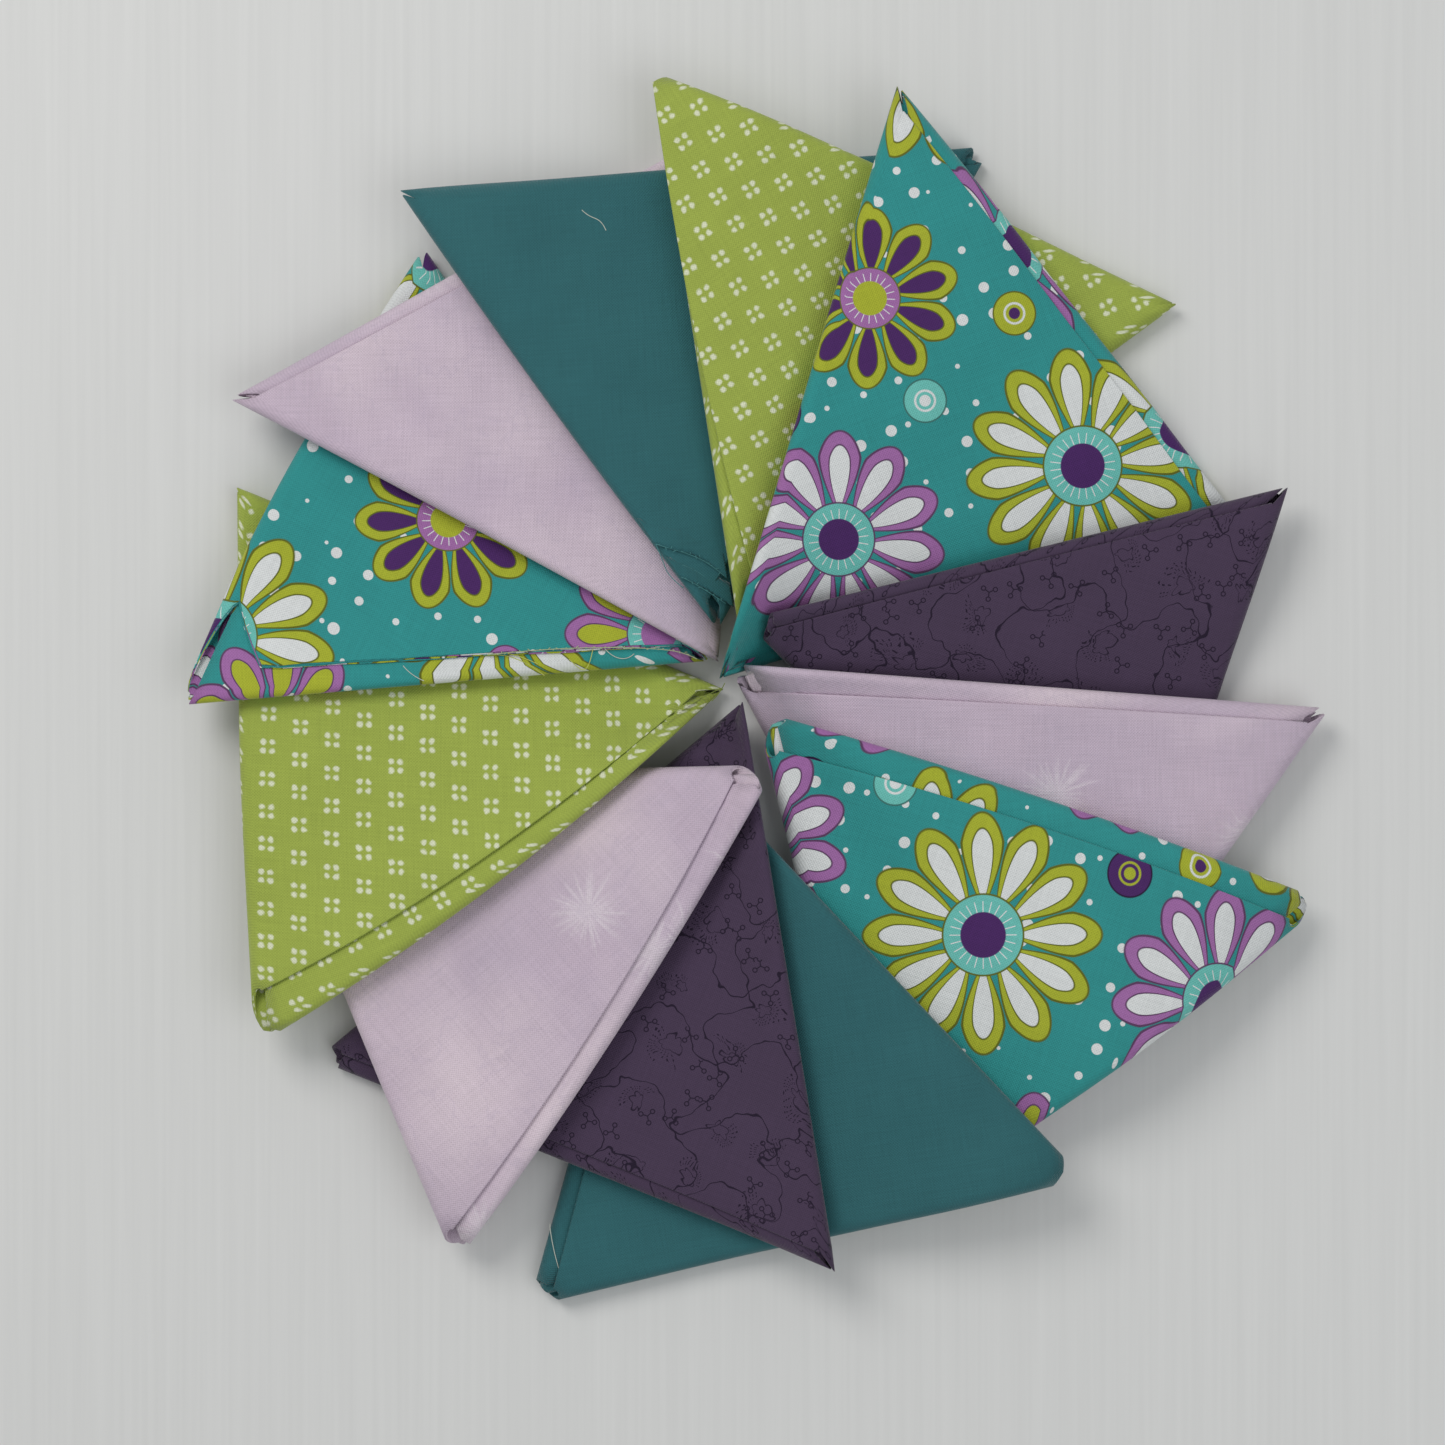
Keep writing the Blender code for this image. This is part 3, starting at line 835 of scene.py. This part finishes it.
def uneven(tree, cloth, scale, detail, most):
    """Coordinates pushed about by a noise, by up to half of the most from its mean."""
    wander = tree.nodes.new("ShaderNodeTexNoise")
    wander.inputs["Scale"].default_value = scale
    wander.inputs["Detail"].default_value = detail
    tree.links.new(cloth, wander.inputs["Vector"])
    pull = tree.nodes.new("ShaderNodeVectorMath")
    pull.operation = "MULTIPLY_ADD"
    tree.links.new(wander.outputs["Color"], pull.inputs[0])
    pull.inputs[1].default_value = (most, most, most)
    tree.links.new(cloth, pull.inputs[2])
    return pull.outputs[0]


def dot_clusters(tree, cloth):
    """Clusters of four dots in dropped columns, a little uneven as the ink takes."""
    split = tree.nodes.new("ShaderNodeSeparateXYZ")
    tree.links.new(uneven(tree, cloth, 700, 1, DOT_WANDER), split.inputs[0])
    column = maths(tree, "DIVIDE", split.outputs[0], CLUSTER_STEP[0])
    in_column = maths(tree, "SUBTRACT", column, maths(tree, "ROUND", column))
    row = maths(tree, "DIVIDE", split.outputs[1], CLUSTER_STEP[1])
    row = maths(tree, "MULTIPLY_ADD", maths(tree, "ROUND", column), CLUSTER_DROP, row)
    in_row = maths(tree, "SUBTRACT", row, maths(tree, "ROUND", row))
    away = []
    for share, step in ((in_column, CLUSTER_STEP[0]), (in_row, CLUSTER_STEP[1])):
        from_middle = maths(tree, "ABSOLUTE", maths(tree, "MULTIPLY", share, step))
        away.append(maths(tree, "SUBTRACT", from_middle, DOT_SPACING))
    dot = step_below(tree, length(tree, *away), DOT_RADIUS, DOT_SOFT)
    return layered(tree, dot, GREEN, DOT_WHITE)


green_dots = cotton("green_dot_cotton", dot_clusters)
for name in ("01_green", "09_green"):
    folded_quarter(name, green_dots)

# The three teal fat quarters with a printed flower pattern
# The same quilting cotton, printed with large daisies and white dots on a bright teal ground. The
# daisies and their layout are plain ones made for this model.
FLOWER_GROUND = (0.032, 0.295, 0.290)
LIME = (0.415, 0.460, 0.033)
DEEP_PURPLE = (0.072, 0.020, 0.130)
ORCHID = (0.375, 0.155, 0.400)
AQUA = (0.16, 0.55, 0.49)
PRINT_WHITE = (0.74, 0.76, 0.76)
REPEAT = (144.0 * MM, 128.0 * MM)
DAISIES = (
    # x and y in the repeat, radius, petals, turn, and the petal, inner petal, ring and eye colours
    (24, 28, 34, 12, 0.20, LIME, PRINT_WHITE, AQUA, DEEP_PURPLE),
    (94, 32, 31, 11, 0.50, ORCHID, PRINT_WHITE, AQUA, DEEP_PURPLE),
    (58, 92, 27, 10, 0.10, ORCHID, LIME, AQUA, ORCHID),
    (126, 94, 26, 10, 0.70, LIME, DEEP_PURPLE, ORCHID, LIME),
    (59, 57, 6.6, 0, 0.0, DEEP_PURPLE, LIME, DEEP_PURPLE, LIME),
    (131, 61, 6.4, 0, 0.0, AQUA, PRINT_WHITE, AQUA, PRINT_WHITE),
    (20, 76, 6.4, 0, 0.0, LIME, PRINT_WHITE, LIME, DEEP_PURPLE),
    (91, 72, 5.8, 0, 0.0, DEEP_PURPLE, ORCHID, DEEP_PURPLE, ORCHID),
    (92, 122, 5.8, 0, 0.0, ORCHID, PRINT_WHITE, ORCHID, PRINT_WHITE),
)
# The ovals that make a petal, from its outline in: middle and half length as shares of the
# daisy's radius, and the share of the petal's room that it fills across
OUTLINE_OVAL = (0.62, 0.390, 0.98)
PETAL_OVAL = (0.62, 0.372, 0.88)
INNER_OUTLINE_OVAL = (0.58, 0.300, 0.56)
INNER_OVAL = (0.58, 0.285, 0.50)
OVAL_SOFT = 0.07
PETALS_WIDEST = 0.76
# A daisy's middle from its outline in, and a button's rings, as shares of the radius
MIDDLE_OUTLINE, MIDDLE, STAMENS, EYE = 0.345, 0.33, 0.28, 0.19
STAMEN_WIDTH = 0.05
BUTTON_RINGS = (1, 0.93, 0.5, 0.40, 0.26)
OUTLINE_TONE = 0.3
PRINT_SOFT = 0.25 * MM
# The white dots between: pitch, smallest and largest radius, and the share of them that is kept
WHITE_DOTS = (10 * MM, 0.5 * MM, 1.75 * MM, 0.8)


def scattered(tree, cloth, pitch, randomness):
    """Scattered points, one to a cell of about this pitch, as a Voronoi node."""
    cells = tree.nodes.new("ShaderNodeTexVoronoi")
    cells.voronoi_dimensions = "2D"
    cells.inputs["Scale"].default_value = 1 / pitch
    cells.inputs["Randomness"].default_value = randomness
    tree.links.new(cloth, cells.inputs["Vector"])
    return cells


def scattered_dots(tree, cloth, pitch, smallest, largest, kept, ground, colour):
    """Round dots of uneven size, one to a cell of about this pitch, some of them left out."""
    cells = scattered(tree, cloth, pitch, 0.75)
    draw = tree.nodes.new("ShaderNodeSeparateColor")
    tree.links.new(cells.outputs["Color"], draw.inputs[0])
    spread = (largest - smallest) / pitch
    radius = maths(tree, "MULTIPLY_ADD", draw.outputs[0], spread, smallest / pitch)
    there = maths(tree, "LESS_THAN", draw.outputs[1], kept)
    dot = step_below(tree, cells.outputs["Distance"], radius, 0.15 * MM / pitch)
    return layered(tree, maths(tree, "MULTIPLY", dot, there), ground, colour)


def from_lattice(tree, cloth, x, y, repeat):
    """Coordinates from a motif's middle, repeating over the cloth: across, up and away."""
    moved = tree.nodes.new("ShaderNodeVectorMath")
    moved.operation = "SUBTRACT"
    tree.links.new(cloth, moved.inputs[0])
    moved.inputs[1].default_value = (x * MM, y * MM, 0)
    wrapped = tree.nodes.new("ShaderNodeVectorMath")
    wrapped.operation = "WRAP"
    tree.links.new(moved.outputs[0], wrapped.inputs[0])
    wrapped.inputs[1].default_value = (repeat[0] / 2, repeat[1] / 2, 1)
    wrapped.inputs[2].default_value = (-repeat[0] / 2, -repeat[1] / 2, -1)
    split = tree.nodes.new("ShaderNodeSeparateXYZ")
    tree.links.new(wrapped.outputs[0], split.inputs[0])
    across, up = split.outputs[0], split.outputs[1]
    return across, up, length(tree, across, up)


def petal_oval(tree, along, side, room, size, oval):
    """Below 1 inside one oval of a petal, which narrows towards the daisy's middle."""
    middle, long, share = oval
    stretched = maths(tree, "DIVIDE", maths(tree, "SUBTRACT", along, middle * size), long * size)
    broad = maths(tree, "DIVIDE", side, maths(tree, "MULTIPLY", room, share))
    squared = [maths(tree, "MULTIPLY", part, part) for part in (stretched, broad)]
    return maths(tree, "ADD", *squared)


def daisy_print(tree, cloth):
    """White dots, round buttons and two-tone daisies on teal, repeating over the cloth."""
    colour = scattered_dots(tree, cloth, *WHITE_DOTS, FLOWER_GROUND, PRINT_WHITE)
    for x, y, radius, petals, turn, *tones in DAISIES:
        petal_colour, inner_colour, ring_colour, eye_colour = tones
        across, up, away = from_lattice(tree, cloth, x, y, REPEAT)
        size = radius * MM
        outline = tuple(c * OUTLINE_TONE for c in petal_colour)
        if not petals:
            for share, tone in zip(BUTTON_RINGS, (outline, *tones)):
                disc = step_below(tree, away, size * share, PRINT_SOFT)
                colour = layered(tree, disc, colour, tone)
            continue
        angle = maths(tree, "ADD", maths(tree, "ARCTAN2", up, across), turn)
        half = math.pi / petals
        petal_angle = maths(tree, "WRAP", angle, half, -half)
        along = maths(tree, "MULTIPLY", away, maths(tree, "COSINE", petal_angle))
        side = maths(tree, "MULTIPLY", away, maths(tree, "SINE", petal_angle))
        side = maths(tree, "ABSOLUTE", side)
        widening = maths(tree, "MINIMUM", along, size * PETALS_WIDEST)
        room = maths(tree, "MULTIPLY", widening, math.tan(half))
        for oval, tone in (
            (OUTLINE_OVAL, outline), (PETAL_OVAL, petal_colour),
            (INNER_OUTLINE_OVAL, outline), (INNER_OVAL, inner_colour),
        ):
            reach = petal_oval(tree, along, side, room, size, oval)
            colour = layered(tree, step_below(tree, reach, 1.0, OVAL_SOFT), colour, tone)
        off = maths(tree, "ABSOLUTE", maths(tree, "SINE", maths(tree, "MULTIPLY", angle, petals)))
        off = maths(tree, "MULTIPLY", off, away)
        stamens = step_below(tree, off, size * STAMEN_WIDTH, PRINT_SOFT)
        rings = {
            share: step_below(tree, away, size * share, PRINT_SOFT)
            for share in (MIDDLE_OUTLINE, MIDDLE, STAMENS, EYE)
        }
        colour = layered(tree, rings[MIDDLE_OUTLINE], colour, outline)
        colour = layered(tree, rings[MIDDLE], colour, ring_colour)
        stamens = maths(tree, "MULTIPLY", stamens, rings[STAMENS])
        colour = layered(tree, stamens, colour, PRINT_WHITE)
        colour = layered(tree, rings[EYE], colour, eye_colour)
    return colour


flower_print = cotton("daisy_print_cotton", daisy_print)
for name in ("02_flower", "05_flower", "10_flower"):
    folded_quarter(name, flower_print, raw_edge=name == "10_flower")

# The two purple fat quarters
# Quilting cotton dyed a dusky purple, with a fine darker line print of winding stems and sprigs.
# The stems and sprigs are plain ones made for this model.
PURPLE = (0.070, 0.044, 0.087)
PURPLE_LINE = (0.016, 0.008, 0.025)
LINE_HALF_WIDTH = 0.16 * MM
LINE_SOFT = 0.14 * MM
STEM_HALF_WIDTH = 0.24 * MM
# Each family of stems: the axis that it runs along, its pitch, and its waves' length and swing
STEMS = ((0, 22, 34, 6.0), (1, 28, 27, 5.0))
STEM_WANDER = 13 * MM
SPRIG_PITCH = 8.5 * MM
SPRIGS_KEPT = 0.5
BERRY_AWAY = 2.0 * MM
BERRY_RADIUS = 0.62 * MM
BLOSSOM_REPEAT = (41.0 * MM, 37.0 * MM)
# Blossoms: x and y in the repeat, radius, and the direction that its stamens fan out in
BLOSSOMS = ((8, 9, 7.2, 0.6), (28, 27, 6.6, 2.4), (33, 6, 5.2, 4.2), (12, 28, 5.0, 5.4))
# A blossom's rim as shares of its radius, at its narrowest and what its lobes add, and where its
# stamens start
RIM_NARROW, RIM_LOBES, STIPPLE_START = 0.30, 0.16, 0.52
DASH_STEP = 1.1 * MM


def drawn_line(tree, off, half_width=LINE_HALF_WIDTH):
    """1 on a printed line, from the distance to its middle."""
    return step_below(tree, off, half_width, LINE_SOFT)


def from_scattered(tree, cloth, cells):
    """The way to each point from the nearest of the scattered ones."""
    way = tree.nodes.new("ShaderNodeVectorMath")
    way.operation = "SUBTRACT"
    tree.links.new(cloth, way.inputs[0])
    tree.links.new(cells.outputs["Position"], way.inputs[1])
    return way.outputs[0]


def line_print(tree, cloth):
    """Winding stems, sprigs of three ring berries, and blossoms with stippled stamens."""
    warped = uneven(tree, cloth, 95, 2, STEM_WANDER)
    split = tree.nodes.new("ShaderNodeSeparateXYZ")
    tree.links.new(warped, split.inputs[0])
    colour = PURPLE
    for axis, pitch, wave, swing in STEMS:
        turns = maths(tree, "MULTIPLY", split.outputs[axis], 2 * math.pi / (wave * MM))
        wave_height = maths(tree, "SINE", turns)
        stem = maths(tree, "MULTIPLY_ADD", wave_height, swing * MM, split.outputs[1 - axis])
        off = maths(tree, "ABSOLUTE", maths(tree, "WRAP", stem, pitch / 2 * MM, -pitch / 2 * MM))
        colour = layered(tree, drawn_line(tree, off, STEM_HALF_WIDTH), colour, PURPLE_LINE)
    cells = scattered(tree, cloth, SPRIG_PITCH, 0.8)
    draw = tree.nodes.new("ShaderNodeSeparateColor")
    tree.links.new(cells.outputs["Color"], draw.inputs[0])
    spread = tree.nodes.new("ShaderNodeSeparateXYZ")
    tree.links.new(from_scattered(tree, cloth, cells), spread.inputs[0])
    away = maths(tree, "MULTIPLY", cells.outputs["Distance"], SPRIG_PITCH)
    angle = maths(tree, "ARCTAN2", spread.outputs[1], spread.outputs[0])
    angle = maths(tree, "MULTIPLY_ADD", draw.outputs[0], 2 * math.pi, angle)
    third = maths(tree, "WRAP", angle, math.pi / 3, -math.pi / 3)
    along = maths(tree, "MULTIPLY", away, maths(tree, "COSINE", third))
    side = maths(tree, "ABSOLUTE", maths(tree, "MULTIPLY", away, maths(tree, "SINE", third)))
    past = maths(tree, "SUBTRACT", along, BERRY_AWAY)
    rim = maths(tree, "SUBTRACT", length(tree, past, side), BERRY_RADIUS)
    rim = maths(tree, "ABSOLUTE", rim)
    before_berry = step_below(tree, along, BERRY_AWAY - BERRY_RADIUS, LINE_SOFT)
    stalk = maths(tree, "MULTIPLY", drawn_line(tree, side), before_berry)
    sprig = maths(tree, "MAXIMUM", drawn_line(tree, rim), stalk)
    kept = maths(tree, "LESS_THAN", draw.outputs[1], SPRIGS_KEPT)
    sprig = maths(tree, "MULTIPLY", sprig, kept)
    colour = layered(tree, sprig, colour, PURPLE_LINE)
    for x, y, radius, facing in BLOSSOMS:
        size = radius * MM
        across, up, away = from_lattice(tree, warped, x, y, BLOSSOM_REPEAT)
        angle = maths(tree, "ARCTAN2", up, across)
        lobes = maths(tree, "ABSOLUTE", maths(tree, "COSINE", maths(tree, "MULTIPLY", angle, 2.5)))
        rim = maths(tree, "MULTIPLY_ADD", lobes, RIM_LOBES * size, RIM_NARROW * size)
        rim = maths(tree, "ABSOLUTE", maths(tree, "SUBTRACT", away, rim))
        colour = layered(tree, drawn_line(tree, rim), colour, PURPLE_LINE)
        fan = maths(tree, "COSINE", maths(tree, "SUBTRACT", angle, facing))
        rays = maths(tree, "ABSOLUTE", maths(tree, "SINE", maths(tree, "MULTIPLY", angle, 14)))
        dashes = maths(tree, "SINE", maths(tree, "MULTIPLY", away, 2 * math.pi / DASH_STEP))
        stipple = maths(tree, "LESS_THAN", rays, 0.42)
        for operation, value, limit in (
            ("GREATER_THAN", dashes, -0.1),
            ("GREATER_THAN", fan, 0.1),
            ("GREATER_THAN", away, STIPPLE_START * size),
            ("LESS_THAN", away, size),
        ):
            stipple = maths(tree, "MULTIPLY", stipple, maths(tree, operation, value, limit))
        colour = layered(tree, stipple, colour, PURPLE_LINE)
    return colour


purple_print = cotton("purple_line_cotton", line_print)
for name in ("03_purple", "07_purple"):
    folded_quarter(name, purple_print)

# The three lavender fat quarters
# Quilting cotton dyed a pale, mottled lavender, cloudy all over, with frosty bursts where the dye
# took unevenly.
LAVENDER = (0.64, 0.510, 0.61)
LAVENDER_PALE = (0.75, 0.63, 0.70)
LAVENDER_COOL = (0.54, 0.45, 0.56)
FROST = (0.78, 0.70, 0.76)
BURST_PITCH = 56 * MM
BURST_REACH = 24 * MM
BURST_GRAIN = 5 * MM
BURST_SOFT = 7 * MM
BURST_SHARE = 0.6
PALE_FROM, PALE_TO = 0.45, 0.72
VEIN_HALF_WIDTH, VEIN_SOFT, VEIN_SHARE = 0.008, 0.02, 0.3


def mottled(tree, cloth):
    """Cloudy lavender with frosty bursts."""
    colour = layered(tree, clouded(tree, cloth, 22, 3), LAVENDER_COOL, LAVENDER)
    contrast = tree.nodes.new("ShaderNodeMapRange")
    contrast.inputs["From Min"].default_value = PALE_FROM
    contrast.inputs["From Max"].default_value = PALE_TO
    tree.links.new(clouded(tree, cloth, 14, 4), contrast.inputs[0])
    colour = layered(tree, contrast.outputs[0], colour, LAVENDER_PALE)
    cells = scattered(tree, cloth, BURST_PITCH, 1)
    outward = tree.nodes.new("ShaderNodeVectorMath")
    outward.operation = "NORMALIZE"
    tree.links.new(from_scattered(tree, cloth, cells), outward.inputs[0])
    feathers = clouded(tree, outward.outputs[0], 7.5, 4)
    away = maths(tree, "MULTIPLY", cells.outputs["Distance"], BURST_PITCH)
    grain = maths(tree, "SUBTRACT", clouded(tree, cloth, 900, 2), 0.5)
    grain = maths(tree, "MULTIPLY", grain, BURST_GRAIN)
    reach = maths(tree, "MULTIPLY_ADD", maths(tree, "POWER", feathers, 2), BURST_REACH, grain)
    burst = maths(tree, "MULTIPLY", step_below(tree, away, reach, BURST_SOFT), BURST_SHARE)
    colour = layered(tree, burst, colour, FROST)
    off = maths(tree, "ABSOLUTE", maths(tree, "SUBTRACT", clouded(tree, cloth, 60, 3), 0.5))
    veins = step_below(tree, off, VEIN_HALF_WIDTH, VEIN_SOFT)
    veins = maths(tree, "MULTIPLY", veins, VEIN_SHARE)
    return layered(tree, veins, colour, LAVENDER_COOL)


lavender_mottle = cotton("lavender_mottled_cotton", mottled)
for name in ("04_lavender", "08_lavender", "11_lavender"):
    folded_quarter(name, lavender_mottle)

# The two plain teal fat quarters
# Quilting cotton dyed one deep teal, with no print, so only its weave and slubs show.
TEAL = (0.035, 0.150, 0.166)
TEAL_DEEP = (0.028, 0.127, 0.144)


def plain_teal(tree, cloth):
    return layered(tree, clouded(tree, cloth, 30, 2), TEAL_DEEP, TEAL)


solid_teal = cotton("plain_teal_cotton", plain_teal)
for name in ("06_teal", "12_teal"):
    folded_quarter(name, solid_teal, raw_edge=name == "12_teal")
